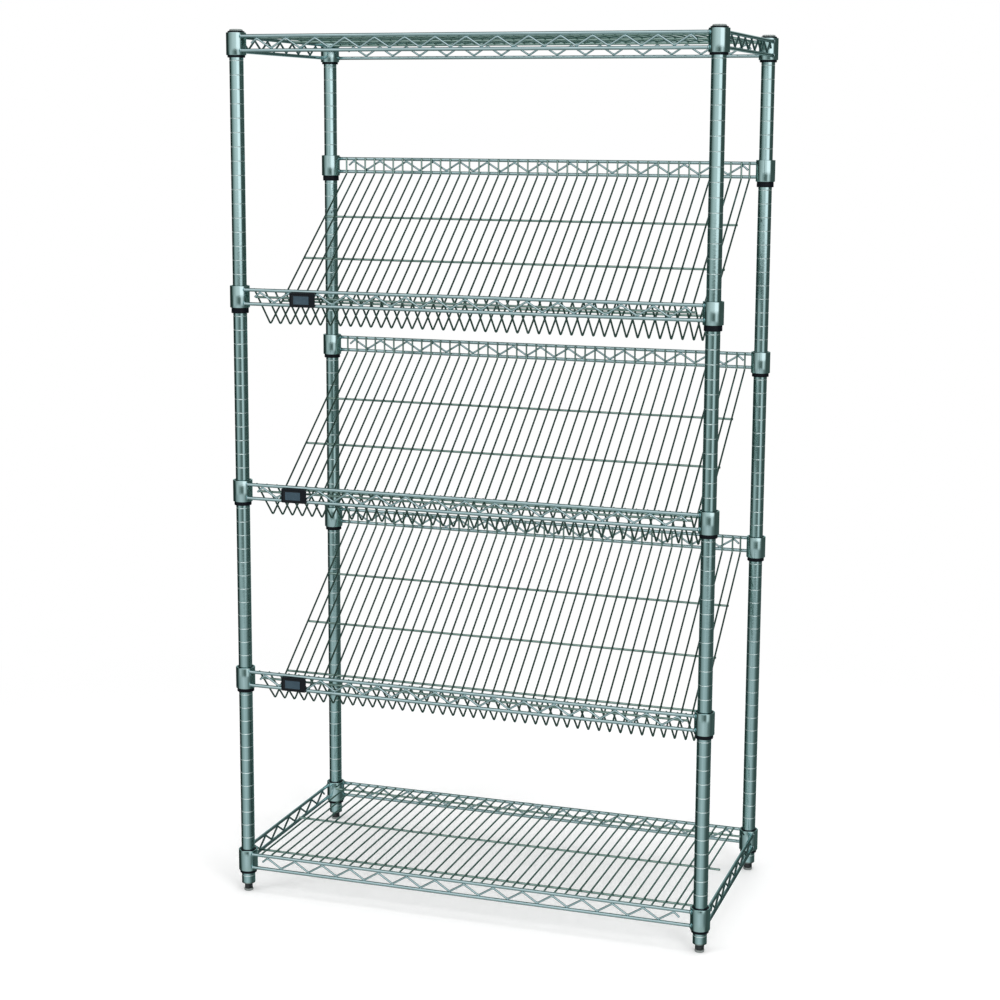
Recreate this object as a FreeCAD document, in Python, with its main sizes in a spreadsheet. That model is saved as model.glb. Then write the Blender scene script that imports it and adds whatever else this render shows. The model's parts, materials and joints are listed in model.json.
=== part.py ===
"""Wire bread rack: four grooved posts, a flat top shelf, three slanted shelves and a flat bottom shelf.

Millimetres, +Z up, +X to the right, +Y to the back.  The origin is on the floor under the middle of
the rack.  Every shelf stands on split sleeves that grip a groove of each post, so shelf heights are
whole groove pitches above the lowest sleeves.  The top shelf has the highest groove that leaves its
sleeves whole.
"""
import FreeCAD, Part
import math
import os
import re
import Sketcher
from FreeCAD import Placement, Rotation, Vector

SIZES = [
    # posts
    ("post_pitch_x", 878.4, "distance between post axes, left to right"),
    ("post_pitch_y", 421.2, "distance between post axes, front to back"),
    ("post_radius", 12.7, "outer radius of a post tube"),
    ("post_wall", 1.2, "wall of a post tube"),
    ("post_foot_z", 17.5, "height of the lower end of the tube"),
    ("post_top_z", 1607.4, "height of the upper end of the tube"),
    ("groove_pitch", 25.4, "distance between two grooves"),
    ("groove_width", 1.8, "width of a groove"),
    ("groove_depth", 0.5, "depth of a groove"),
    ("groove_end_margin", 6.0, "plain tube left above the last groove"),
    # caps on the posts
    ("cap_spigot_length", 12.0, "part of the cap inside the tube"),
    ("cap_flange_radius", 12.1, "radius of the cap's flange"),
    ("cap_flange_height", 1.2, "height of the straight edge of the flange"),
    ("cap_dome_radius", 8.6, "radius of the flat on top of the cap"),
    ("cap_dome_height", 1.8, "rise of the cap above its flange"),
    ("fit_gap", 0.1, "radial gap of a piece that is pushed into the tube"),
    # threaded foot inserts and levellers
    ("insert_flange", 2.0, "thickness of the insert's flange under the tube"),
    ("insert_length", 22.0, "length of the insert inside the tube"),
    ("thread_radius", 4.7, "radius of the leveller's screw"),
    ("thread_gap", 0.08, "radial gap between screw and insert"),
    ("screw_length", 46.0, "length of the screw above its hexagon"),
    ("hexagon_radius", 8.2, "corner radius of the leveller's hexagon"),
    ("hexagon_height", 11.5, "height of the leveller's hexagon"),
    ("pad_radius", 8.6, "radius of the foot pad"),
    ("pad_height", 4.0, "height of the foot pad"),
    ("pad_floor", 1.4, "material under the swivel socket of the pad"),
    ("pad_chamfer", 0.6, "chamfer of the pad's lower edge"),
    ("swivel_radius", 4.0, "radius of the swivel pin under the hexagon"),
    ("swivel_gap", 0.06, "gap between swivel pin and pad"),
    # split sleeves
    ("sleeve_foot_z", 36.5, "height of the lower end of the lowest sleeves"),
    ("sleeve_length", 46.5, "length of a sleeve"),
    ("sleeve_foot_radius", 15.8, "outer radius at the lower end of a sleeve"),
    ("sleeve_lip", 3.0, "height of the straight lip at the lower end of a sleeve"),
    ("sleeve_rib_height", 20.0, "height of the inner rib above the sleeve's lower end"),
    ("sleeve_rib_width", 1.4, "width of the inner rib"),
    ("sleeve_arc", 174.0, "angle that one half sleeve covers, in degrees"),
    ("taper", 0.016, "radius lost per millimetre of height, sleeve and collar alike"),
    # collars at the corners of a shelf
    ("collar_radius", 18.0, "outer radius of a collar"),
    ("collar_length", 40.0, "height of a collar"),
    ("lift_top", 4.0, "height at which the top shelf's collars wedge above the sleeves' lower ends"),
    ("lift_upper", 10.0, "the same for the upper slanted shelf"),
    ("lift_middle", 7.0, "the same for the middle slanted shelf"),
    ("lift_lower", 7.0, "the same for the lower slanted shelf"),
    ("lift_bottom", 5.5, "the same for the bottom shelf"),
    ("collar_gap", 0.15, "radial gap between collar and sleeve"),
    ("collar_chamfer", 0.8, "chamfer of a collar's outer edges"),
    # trusses: two rails and a snake wire
    ("rail_radius", 3.175, "radius of a rail"),
    ("rail_offset", 11.0, "distance of a rail outside the line of post axes"),
    ("rail_height", 8.0, "height of the lower rail above the collar's lower end"),
    ("rail_spacing", 25.4, "distance between the lower and the upper rail"),
    ("rail_end", 13.6, "distance of a rail's end from the post axis"),
    ("snake_radius", 1.9, "radius of a snake wire"),
    ("snake_wave", 55.5, "wanted length of one wave"),
    ("snake_margin", 45.0, "distance of the outer crests from the post axis"),
    ("snake_bend", 6.0, "radius of the bends of a snake wire"),
    ("snake_stub_run", 10.0, "sideways run of the free ends of a snake wire"),
    ("snake_stub_drop", 9.0, "drop of the free ends of a snake wire"),
    # decks
    ("deck_radius", 1.7, "radius of a deck wire"),
    ("deck_pitch", 20.0, "distance between deck wires"),
    ("deck_inset", 31.5, "distance of the outer deck wires from the post axes"),
    ("cross_radius", 2.1, "radius of a cross wire under the deck"),
    ("cross_inset", 35.0, "distance of the outer cross wires behind the rails of a flat shelf"),
    ("weld", 0.1, "depth to which welded wires bite into each other"),
    ("deck_bite", 0.8, "depth to which the ends of flat deck wires reach into the upper rails"),
    ("cross_overhang", 21.0, "length of a flat shelf's cross wires beyond the outer deck wires"),
    # slanted decks: a trough behind the front truss, then the slope up to the back truss
    ("trough_run", 62.0, "distance of the trough's bottom behind the front post axes"),
    ("trough_drop", 35.0, "depth of the trough's bottom below the front collar's lower end"),
    ("deck_bend", 6.0, "radius of the bends at the trough and at the back truss"),
    ("back_bend_drop", 4.0, "depth of the bend at the back truss below the lower rail"),
    ("wire_end", 2.0, "height of a deck wire's ends above the upper rail's axis"),
    ("lip_drop", 11.4, "depth of the lip wire below the front upper rail"),
    ("slope_cross_low", 118.0, "distance of the lowest cross wire behind the front post axes"),
    ("slope_cross_middle", 219.0, "distance of the middle cross wire behind the front post axes"),
    ("slope_cross_high", 321.0, "distance of the highest cross wire behind the front post axes"),
    # label holders
    ("holder_width", 49.0, "width of a label holder"),
    ("holder_height", 26.0, "height of a label holder"),
    ("holder_depth", 3.0, "thickness of a label holder"),
    ("holder_rim", 3.2, "width of the rim round the label"),
    ("holder_land", 8.0, "plain end of the holder at the right of its recess"),
    ("holder_recess", 1.2, "depth of the recess for the label"),
    ("holder_key_depth", 0.9, "depth of the key between the two rails"),
    ("holder_key_width", 34.0, "width of that key"),
    ("holder_rise", 5.2, "height of the holder's lower edge above the collar's lower end"),
    ("card_thickness", 0.5, "thickness of the blank label card"),
    ("card_gap", 0.15, "gap between the card and the rim of its recess"),
    ("holder_x_upper", 130.0, "distance of the holder from the left post axis, upper slanted shelf"),
    ("holder_x_middle", 109.5, "the same for the middle slanted shelf"),
    ("holder_x_lower", 105.0, "the same for the lower slanted shelf"),
    # slanted shelves: heights of their sleeves above the lowest ones, each rounded to whole grooves
    ("height_front_upper", 1066.8, "upper slanted shelf, front"),
    ("height_back_upper", 1295.4, "upper slanted shelf, back"),
    ("height_front_middle", 711.2, "middle slanted shelf, front"),
    ("height_back_middle", 939.8, "middle slanted shelf, back"),
    ("height_front_lower", 355.6, "lower slanted shelf, front"),
    ("height_back_lower", 584.2, "lower slanted shelf, back"),
]
FLAT_SHELVES = ("top", "bottom")
SLANTED_SHELVES = ("upper", "middle", "lower")
SIDES = {"left": "-1", "right": "1"}
ENDS = {"front": "-1", "back": "1"}
ALONG_X = Rotation(Vector(0, 1, 0), 90)
ALONG_Y = Rotation(Vector(1, 0, 0), -90)
UPRIGHT = Rotation()
# where a sketch's corners lie before its constraints move them: on a circle that touches neither axis
SKETCH_START = 30.0
SKETCH_START_RADIUS = 20.0

doc = FreeCAD.newDocument("BreadRack")
sheet = doc.addObject("Spreadsheet::Sheet", "Sizes")
for row, (alias, value, meaning) in enumerate(SIZES, 1):
    sheet.set("A%d" % row, meaning)
    sheet.set("B%d" % row, str(value))
    sheet.setAlias("B%d" % row, alias)
doc.recompute()

subparts = []


# ---------------------------------------------------------------------------------------- helpers
def size(alias):
    """The number behind an alias of the sheet."""
    return float(sheet.get(alias))


def words(expression):
    """An expression whose bare aliases are turned into cells of the sheet."""
    aliases = {alias for alias, _, _ in SIZES}
    return re.sub("[a-z_]+", lambda word: ("Sizes." if word[0] in aliases else "") + word[0], expression)


def bind(thing, **expressions):
    """Bind properties of an object to expressions over the sheet's aliases."""
    for name, expression in expressions.items():
        thing.setExpression(name, words(expression))


def place(thing, x, y, z, rotation=UPRIGHT):
    """Put an object at a place given by three expressions."""
    thing.Placement = Placement(Vector(), rotation)
    for axis, expression in zip("xyz", (x, y, z)):
        thing.setExpression("Placement.Base." + axis, words(expression))
    return thing


def subpart(label, members):
    """One node of the rack: a named compound of the solids that belong to it."""
    node = doc.addObject("Part::Compound", label)
    node.Label = label
    node.Links = members
    subparts.append(node)


def rod(name, radius, length, x, y, z, rotation):
    """A straight wire or rail that starts at a place."""
    wire = doc.addObject("Part::Cylinder", name)
    bind(wire, Radius=radius, Height=length)
    return place(wire, x, y, z, rotation)


def copy_of(master, name, x, y, z, rotation=UPRIGHT):
    """A linked copy of a master piece."""
    link = doc.addObject("App::Link", name)
    link.LinkedObject = master
    return place(link, x, y, z, rotation)


def origin_feature(body, role):
    return next(feature for feature in body.Origin.OriginFeatures if feature.Role == role)


def outline(body, name, plane, corners):
    """A closed sketch with its corners at expressions; "0" puts a corner on the sketch's own axis."""
    sketch = body.newObject("Sketcher::SketchObject", name)
    sketch.AttachmentSupport = [(origin_feature(body, plane), "")]
    sketch.MapMode = "FlatFace"
    count = len(corners)
    around = [2 * math.pi * index / count for index in range(count + 1)]
    start = [Vector(SKETCH_START + SKETCH_START_RADIUS * math.cos(turn),
                    SKETCH_START + SKETCH_START_RADIUS * math.sin(turn), 0) for turn in around]
    for index in range(count):
        sketch.addGeometry(Part.LineSegment(start[index], start[index + 1]), False)
    for index in range(count):
        sketch.addConstraint(Sketcher.Constraint("Coincident", index, 2, (index + 1) % count, 1))
    axes = (("DistanceX", -2), ("DistanceY", -1))
    for index, corner in enumerate(corners):
        for (kind, axis), expression in zip(axes, corner):
            if expression == "0":
                sketch.addConstraint(Sketcher.Constraint("PointOnObject", index, 1, axis))
                continue
            number = sketch.addConstraint(Sketcher.Constraint(kind, -1, 1, index, 1, 10.0 + index))
            sketch.setExpression("Constraints[%d]" % number, words(expression))
    sketch.Visibility = False
    return sketch


def turned(name, corners, angle=None):
    """A body turned about its own Z axis from half a cross section, whole or over an angle."""
    body = doc.addObject("PartDesign::Body", name)
    sketch = outline(body, name + "_section", "XZ_Plane", corners)
    turning = body.newObject("PartDesign::Revolution", name + "_turning")
    turning.Profile = sketch
    turning.ReferenceAxis = (sketch, ["V_Axis"])
    if angle:
        turning.Midplane = True
        bind(turning, Angle=angle)
    else:
        turning.Angle = 360
    return body


def bent_wire(name, corners, bend, radius):
    """A wire bent in one plane: straight runs from corner to corner, rounded by tangent arcs."""
    edges = []
    start = corners[0]
    for before, corner, after in zip(corners, corners[1:], corners[2:]):
        inward = (before - corner).normalize()
        outward = (after - corner).normalize()
        half_turn = inward.getAngle(outward) / 2
        reach = bend / math.tan(half_turn)
        middle = (inward + outward).normalize() * (bend / math.sin(half_turn) - bend)
        first, last = corner + inward * reach, corner + outward * reach
        edges.append(Part.LineSegment(start, first).toShape())
        edges.append(Part.Arc(first, corner + middle, last).toShape())
        start = last
    edges.append(Part.LineSegment(start, corners[-1]).toShape())
    path = Part.Wire(edges)
    section = Part.Wire(Part.Circle(corners[0], corners[1] - corners[0], radius).toShape())
    solid = path.makePipeShell([section], True, False)
    wire = doc.addObject("Part::Feature", name)
    wire.Shape = solid
    expected = math.pi * radius ** 2 * path.Length
    if abs(solid.Volume / expected - 1) > 0.01:
        raise ValueError("%s has the wrong volume" % name)
    return wire


def sleeve_foot(level, end):
    """Height of the lower end of a sleeve: a whole number of grooves above the lowest one."""
    if level == "bottom":
        return "sleeve_foot_z"
    if level == "top":
        grooves = "floor((post_top_z - sleeve_length - sleeve_foot_z) / groove_pitch)"
    else:
        grooves = "round(height_%s_%s / groove_pitch)" % (end, level)
    return "sleeve_foot_z + groove_pitch * " + grooves


def collar_foot(level, end):
    """Height of the lower end of a collar."""
    return sleeve_foot(level, end) + " + lift_" + level


def corner_places():
    """Name and axis of each of the four posts."""
    for end, toward in ENDS.items():
        for side, across in SIDES.items():
            yield end, side, "%s * post_pitch_x / 2" % across, "%s * post_pitch_y / 2" % toward


# ------------------------------------------------------------------- posts, caps, inserts, levellers
post = doc.addObject("PartDesign::Body", "post")
ring = post.newObject("Sketcher::SketchObject", "post_section")
ring.AttachmentSupport = [(origin_feature(post, "XY_Plane"), "")]
ring.MapMode = "FlatFace"
for index, radius in enumerate(("post_radius", "post_radius - post_wall")):
    ring.addGeometry(Part.Circle(Vector(0, 0, 0), Vector(0, 0, 1), 12.0 - index), False)
    ring.addConstraint(Sketcher.Constraint("Coincident", index, 3, -1, 1))
    number = ring.addConstraint(Sketcher.Constraint("Radius", index, 12.0 - index))
    ring.setExpression("Constraints[%d]" % number, words(radius))
tube = post.newObject("PartDesign::Pad", "post_tube")
tube.Profile = ring
bind(tube, Length="post_top_z - post_foot_z")

# the lowest groove is one pitch below the rib of the lowest sleeves
groove_z = "sleeve_foot_z + sleeve_rib_height - groove_pitch - post_foot_z"
groove_low, groove_high = groove_z + " - groove_width / 2", groove_z + " + groove_width / 2"
notch = outline(post, "groove_section", "XZ_Plane", [
    ("post_radius - groove_depth", groove_low),
    ("post_radius + groove_depth", groove_low),
    ("post_radius + groove_depth", groove_high),
    ("post_radius - groove_depth", groove_high),
])
groove = post.newObject("PartDesign::Groove", "groove")
groove.Profile = notch
groove.ReferenceAxis = (notch, ["V_Axis"])
groove.Angle = 360
doc.recompute()
plain_volume, grooved_volume = tube.Shape.Volume, groove.Shape.Volume
if not grooved_volume < plain_volume:
    raise ValueError("the groove cuts nothing")
room = "(post_top_z - groove_end_margin - post_foot_z - (%s))" % groove_z
grooves = post.newObject("PartDesign::LinearPattern", "grooves")
grooves.Originals = [groove]
grooves.Direction = (origin_feature(post, "Z_Axis"), [""])
bind(grooves, Occurrences="floor(%s / groove_pitch) + 1" % room,
     Length="floor(%s / groove_pitch) * groove_pitch" % room)
post.Tip = grooves

spigot_radius = "post_radius - post_wall - fit_gap"
cap_top = "cap_spigot_length + cap_flange_height + cap_dome_height"
cap = turned("cap", [
    ("0", "0"),
    (spigot_radius, "0"),
    (spigot_radius, "cap_spigot_length"),
    ("cap_flange_radius", "cap_spigot_length"),
    ("cap_flange_radius", "cap_spigot_length + cap_flange_height"),
    ("cap_dome_radius", cap_top),
    ("0", cap_top),
])
insert = turned("insert", [
    ("thread_radius + thread_gap", "0"),
    ("post_radius", "0"),
    ("post_radius", "insert_flange"),
    (spigot_radius, "insert_flange"),
    (spigot_radius, "insert_flange + insert_length"),
    ("thread_radius + thread_gap", "insert_flange + insert_length"),
])
pad = turned("pad", [
    ("0", "0"),
    ("pad_radius - pad_chamfer", "0"),
    ("pad_radius", "pad_chamfer"),
    ("pad_radius", "pad_height"),
    ("swivel_radius + swivel_gap", "pad_height"),
    ("swivel_radius + swivel_gap", "pad_floor"),
    ("0", "pad_floor"),
])
# the screw is one turned and milled piece: swivel pin, hexagon and threaded rod
hexagon = doc.addObject("Part::Prism", "hexagon")
hexagon.Polygon = 6
bind(hexagon, Circumradius="hexagon_radius", Height="hexagon_height")
place(hexagon, "0", "0", "pad_height")
pin = rod("swivel_pin", "swivel_radius", "pad_height - pad_floor - swivel_gap + hexagon_height / 2",
          "0", "0", "pad_floor + swivel_gap", UPRIGHT)
threaded_rod = rod("threaded_rod", "thread_radius", "hexagon_height / 2 + screw_length",
                   "0", "0", "pad_height + hexagon_height / 2", UPRIGHT)
screw = doc.addObject("Part::MultiFuse", "screw")
screw.Shapes = [pin, hexagon, threaded_rod]

tube_foot = "pad_height + hexagon_height + insert_flange"
for end, side, x, y in corner_places():
    corner = "%s_%s" % (end, side)
    subpart("post_" + corner, [copy_of(post, "post_copy_" + corner, x, y, "post_foot_z")])
    subpart("post_cap_" + corner,
            [copy_of(cap, "cap_copy_" + corner, x, y, "post_top_z - cap_spigot_length")])
    subpart("foot_insert_" + corner,
            [copy_of(insert, "insert_copy_" + corner, x, y, "post_foot_z - insert_flange")])
    below = "post_foot_z - (%s)" % tube_foot
    subpart("leveller_screw_" + corner, [copy_of(screw, "screw_copy_" + corner, x, y, below)])
    subpart("leveller_pad_" + corner, [copy_of(pad, "pad_copy_" + corner, x, y, below)])

# ------------------------------------------------------------------------- split sleeves and collars
bore = "post_radius + fit_gap"
rib = "post_radius - groove_depth + fit_gap"
rib_low, rib_high = "sleeve_rib_height - sleeve_rib_width / 2", "sleeve_rib_height + sleeve_rib_width / 2"
half_sleeve = turned("half_sleeve", [
    (bore, "0"),
    ("sleeve_foot_radius", "0"),
    ("sleeve_foot_radius", "sleeve_lip"),
    ("sleeve_foot_radius - taper * (sleeve_length - sleeve_lip)", "sleeve_length"),
    (bore, "sleeve_length"),
    (bore, rib_high),
    (rib, rib_high),
    (rib, rib_low),
    (bore, rib_low),
], angle="sleeve_arc")
for level in FLAT_SHELVES + SLANTED_SHELVES:
    # a collar with a slightly narrower bore wedges higher on its sleeve
    collar_bore = "sleeve_foot_radius - taper * (lift_%s - sleeve_lip) + collar_gap" % level
    collar = turned("collar_" + level, [
        (collar_bore, "0"),
        ("collar_radius - collar_chamfer", "0"),
        ("collar_radius", "collar_chamfer"),
        ("collar_radius", "collar_length - collar_chamfer"),
        ("collar_radius - collar_chamfer", "collar_length"),
        (collar_bore + " - taper * collar_length", "collar_length"),
    ])
    halves, collars = [], []
    for end, side, x, y in corner_places():
        name = "%s_%s_%s" % (level, end, side)
        for half, turn in (("a", 90), ("b", 270)):
            halves.append(copy_of(half_sleeve, "half_sleeve_%s_%s" % (name, half), x, y,
                                  sleeve_foot(level, end), Rotation(Vector(0, 0, 1), turn)))
        collars.append(copy_of(collar, "collar_copy_" + name, x, y, collar_foot(level, end)))
    subpart("%s_shelf_sleeves" % level, halves)
    subpart("%s_shelf_collars" % level, collars)


# ------------------------------------------------------------------------------------------- trusses
def snake(name, pitch):
    """A zigzag wire that fills the gap between two rails, along X and centred on the origin."""
    reach = pitch / 2 - size("snake_margin")
    waves = max(1, round(2 * reach / size("snake_wave")))
    crest = size("rail_spacing") / 2 - size("rail_radius") - size("snake_radius") + size("weld")
    # a bend rounds its corner off, so the corners lie beyond the crests by what the bend takes away:
    # corner = crest + bend * (1 / cos(slope) - 1), with tan(slope) = 2 * corner / half_wave
    bend, half_wave = size("snake_bend"), reach / waves
    lack = crest - bend
    stretch = 1 - (2 * bend / half_wave) ** 2
    corner = (lack + math.sqrt(lack ** 2 + stretch * (bend ** 2 - lack ** 2))) / stretch
    stub_x, stub_z = reach + size("snake_stub_run"), corner - size("snake_stub_drop")
    points = [Vector(-stub_x, 0, stub_z)]
    for index in range(2 * waves + 1):
        up = 1 if index % 2 == 0 else -1
        points.append(Vector(-reach + index * half_wave, 0, up * corner))
    points.append(Vector(stub_x, 0, stub_z))
    return bent_wire(name, points, bend, size("snake_radius"))


long_snake = snake("long_snake", size("post_pitch_x"))
short_snake = snake("short_snake", size("post_pitch_y"))
TURNED_ROUND = Rotation(Vector(0, 0, 1), 90)
rail_line = {"front": "-1 * (post_pitch_y / 2 + rail_offset)", "back": "post_pitch_y / 2 + rail_offset"}
side_line = {"left": "-1 * (post_pitch_x / 2 + rail_offset)", "right": "post_pitch_x / 2 + rail_offset"}


def rails_and_snakes(level, sides):
    """The front and back trusses of a shelf, and those at its sides if it has them."""
    rails, snakes = [], []
    for end in ENDS:
        foot = collar_foot(level, end) + " + rail_height"
        name = "%s_%s" % (level, end)
        for rail, z in (("lower", foot), ("upper", foot + " + rail_spacing")):
            rails.append(rod("rail_%s_%s" % (name, rail), "rail_radius", "post_pitch_x - 2 * rail_end",
                             "rail_end - post_pitch_x / 2", rail_line[end], z, ALONG_X))
        snakes.append(copy_of(long_snake, "snake_" + name, "0", rail_line[end],
                              foot + " + rail_spacing / 2"))
    for side in sides:
        foot = collar_foot(level, "front") + " + rail_height"
        name = "%s_%s" % (level, side)
        for rail, z in (("lower", foot), ("upper", foot + " + rail_spacing")):
            rails.append(rod("rail_%s_%s" % (name, rail), "rail_radius", "post_pitch_y - 2 * rail_end",
                             side_line[side], "rail_end - post_pitch_y / 2", z, ALONG_Y))
        snakes.append(copy_of(short_snake, "snake_" + name, side_line[side], "0",
                              foot + " + rail_spacing / 2", TURNED_ROUND))
    subpart("%s_shelf_rails" % level, rails)
    subpart("%s_shelf_snake_wires" % level, snakes)


# --------------------------------------------------------------------------------------------- decks
def deck_places():
    """Places of the deck wires along X: even steps from the left, and one wire at the right end."""
    reach = size("post_pitch_x") / 2 - size("deck_inset")
    steps = int(2 * reach / size("deck_pitch"))
    for step in range(steps + 1):
        yield "deck_inset - post_pitch_x / 2 + %d * deck_pitch" % step
    if 2 * reach - steps * size("deck_pitch") > 3 * size("deck_radius"):
        yield "post_pitch_x / 2 - deck_inset"


def flat_deck(level):
    """Deck wires between the front and back rails, and three cross wires under them."""
    upper_rail = collar_foot(level, "front") + " + rail_height + rail_spacing"
    deck_z = upper_rail + " + rail_radius - deck_radius"
    reach = "(post_pitch_y / 2 + rail_offset - rail_radius + deck_bite)"
    wires = [rod("deck_wire_%s_%d" % (level, number), "deck_radius", "2 * " + reach,
                 x, "-1 * " + reach, deck_z, ALONG_Y)
             for number, x in enumerate(deck_places())]
    cross_z = deck_z + " - deck_radius - cross_radius + weld"
    span = "(post_pitch_x / 2 - deck_inset + cross_overhang)"
    outer = "(post_pitch_y / 2 + rail_offset - cross_inset)"
    crosses = [rod("cross_wire_%s_%d" % (level, number), "cross_radius", "2 * " + span,
                   "-1 * " + span, y, cross_z, ALONG_X)
               for number, y in enumerate(("-1 * " + outer, "0", outer))]
    subpart("%s_shelf_deck_wires" % level, wires)
    subpart("%s_shelf_cross_wires" % level, crosses)


def slanted_corners(level):
    """Corners of a slanted deck wire in the YZ plane, from its front end to its back end."""
    pitch = size("groove_pitch")
    half = size("post_pitch_y") / 2
    front, back = (round(size("height_%s_%s" % (end, level)) / pitch) for end in ENDS)
    rise = (back - front) * pitch
    behind_rail = size("rail_radius") + size("deck_radius") - size("weld")
    front_y = -half - size("rail_offset") + behind_rail
    back_y = half + size("rail_offset") - behind_rail
    top = size("rail_height") + size("rail_spacing") + size("wire_end")
    return [
        Vector(0, front_y, top),
        Vector(0, size("trough_run") - half, -size("trough_drop")),
        Vector(0, back_y, rise + size("rail_height") - size("back_bend_drop")),
        Vector(0, back_y, rise + top),
    ]


def under(start, end, y, distance):
    """The point under a sloping line at a place along Y, at a distance square to the line."""
    along = (end - start).normalize()
    square = Vector(0, along.z, -along.y)
    if square.z > 0:
        square = square * -1
    share = (y - start.y) / (end.y - start.y)
    return start + (end - start) * share + square * distance


def slanted_deck(level):
    """Deck wires with a trough at the front, three cross wires below and a lip wire at the front."""
    front, trough, bend, back = slanted_corners(level)
    wire = bent_wire("slanted_wire_" + level, [front, trough, bend, back],
                     size("deck_bend"), size("deck_radius"))
    foot = collar_foot(level, "front")
    wires = [copy_of(wire, "deck_wire_%s_%d" % (level, number), x, "0", foot)
             for number, x in enumerate(deck_places())]
    half = size("post_pitch_y") / 2
    beside = size("deck_radius") + size("cross_radius") - size("weld")
    span = "(post_pitch_x / 2 - deck_inset + deck_radius)"
    crosses = []
    for place_name in ("low", "middle", "high"):
        middle = under(trough, bend, size("slope_cross_" + place_name) - half, beside)
        crosses.append(rod("cross_wire_%s_%s" % (level, place_name), "cross_radius", "2 * " + span,
                           "-1 * " + span, "%.4f" % middle.y, foot + " + %.4f" % middle.z, ALONG_X))
    lip_height = size("rail_height") + size("rail_spacing") - size("lip_drop")
    lip_y = front.y + (trough.y - front.y) * (front.z - lip_height) / (front.z - trough.z)
    lip = under(front, trough, lip_y, beside)
    lip_wire = rod("lip_wire_" + level, "cross_radius", "2 * " + span,
                   "-1 * " + span, "%.4f" % lip.y, foot + " + %.4f" % lip.z, ALONG_X)
    subpart("%s_shelf_deck_wires" % level, wires)
    subpart("%s_shelf_cross_wires" % level, crosses)
    subpart("%s_shelf_lip_wire" % level, [lip_wire])


# ------------------------------------------------------------------------------------- label holders
holder = doc.addObject("PartDesign::Body", "holder")
face = outline(holder, "holder_face", "XY_Plane", [
    ("0", "0"), ("holder_width", "0"), ("holder_width", "holder_height"), ("0", "holder_height")])
plate = holder.newObject("PartDesign::Pad", "holder_plate")
plate.Profile = face
bind(plate, Length="holder_depth")
recess_right = "holder_width - holder_rim - holder_land"
recess_outline = outline(holder, "holder_recess_outline", "XY_Plane", [
    ("holder_rim", "holder_rim"),
    (recess_right, "holder_rim"),
    (recess_right, "holder_height - holder_rim"),
    ("holder_rim", "holder_height - holder_rim"),
])
recess_outline.setExpression("AttachmentOffset.Base.z", words("holder_depth"))
recess = holder.newObject("PartDesign::Pocket", "holder_pocket")
recess.Profile = recess_outline
bind(recess, Length="holder_recess")
doc.recompute()
if not recess.Shape.Volume < plate.Shape.Volume:
    raise ValueError("the recess of the label holder cuts nothing")
key_left = "(holder_width - holder_key_width) / 2"
key_low = "rail_height - holder_rise + rail_radius"
key_high = "rail_height - holder_rise + rail_spacing - rail_radius"
key_outline = outline(holder, "holder_key_outline", "XY_Plane", [
    (key_left, key_low),
    ("holder_width - " + key_left, key_low),
    ("holder_width - " + key_left, key_high),
    (key_left, key_high),
])
key = holder.newObject("PartDesign::Pad", "holder_key")
key.Profile = key_outline
key.Reversed = True
bind(key, Length="holder_key_depth")
holder.Tip = key

card = doc.addObject("Part::Box", "card")
bind(card, Length=recess_right + " - holder_rim - 2 * card_gap",
     Width="holder_height - 2 * (holder_rim + card_gap)", Height="card_thickness")
FACING_FRONT = Rotation(Vector(1, 0, 0), 90)


def label(level):
    """A label holder on the front rails of a slanted shelf, with its blank card."""
    x = "holder_x_%s - post_pitch_x / 2 - holder_width / 2" % level
    y = "-1 * (post_pitch_y / 2 + rail_offset + rail_radius)"
    z = collar_foot(level, "front") + " + holder_rise"
    inset = " + holder_rim + card_gap"
    subpart("%s_shelf_label_holder" % level,
            [copy_of(holder, "holder_copy_" + level, x, y, z, FACING_FRONT)])
    subpart("%s_shelf_label_card" % level,
            [copy_of(card, "card_copy_" + level, x + inset, y + " - holder_depth + holder_recess",
                     z + inset, FACING_FRONT)])


for level in FLAT_SHELVES:
    rails_and_snakes(level, SIDES)
    flat_deck(level)
for level in SLANTED_SHELVES:
    rails_and_snakes(level, ())
    slanted_deck(level)
    label(level)

# --------------------------------------------------------------------------------- checks and export
doc.recompute()
for thing in doc.Objects:
    if "Invalid" in thing.State or "Error" in thing.State:
        raise ValueError("%s failed: %s" % (thing.Label, thing.State))
for node in subparts:
    if node.Shape.isNull() or not node.Shape.isValid():
        raise ValueError("%s has no valid shape" % node.Label)
os.makedirs("parts", exist_ok=True)
for node in subparts:
    node.Shape.exportStep("parts/%s.step" % node.Label)
print("%d nodes, %d solids" % (len(subparts), sum(len(node.Shape.Solids) for node in subparts)))
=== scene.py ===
"""Looks of the wire bread rack: plated posts, collars and wires, black sleeves, feet and labels.

Metres, +Z up, +X to the rack's right and +Y to its back.  Places come from the solids' boxes.
"""

import json
import math

import bmesh
import bpy
import numpy as np
from mathutils import Euler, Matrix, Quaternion, Vector

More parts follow.
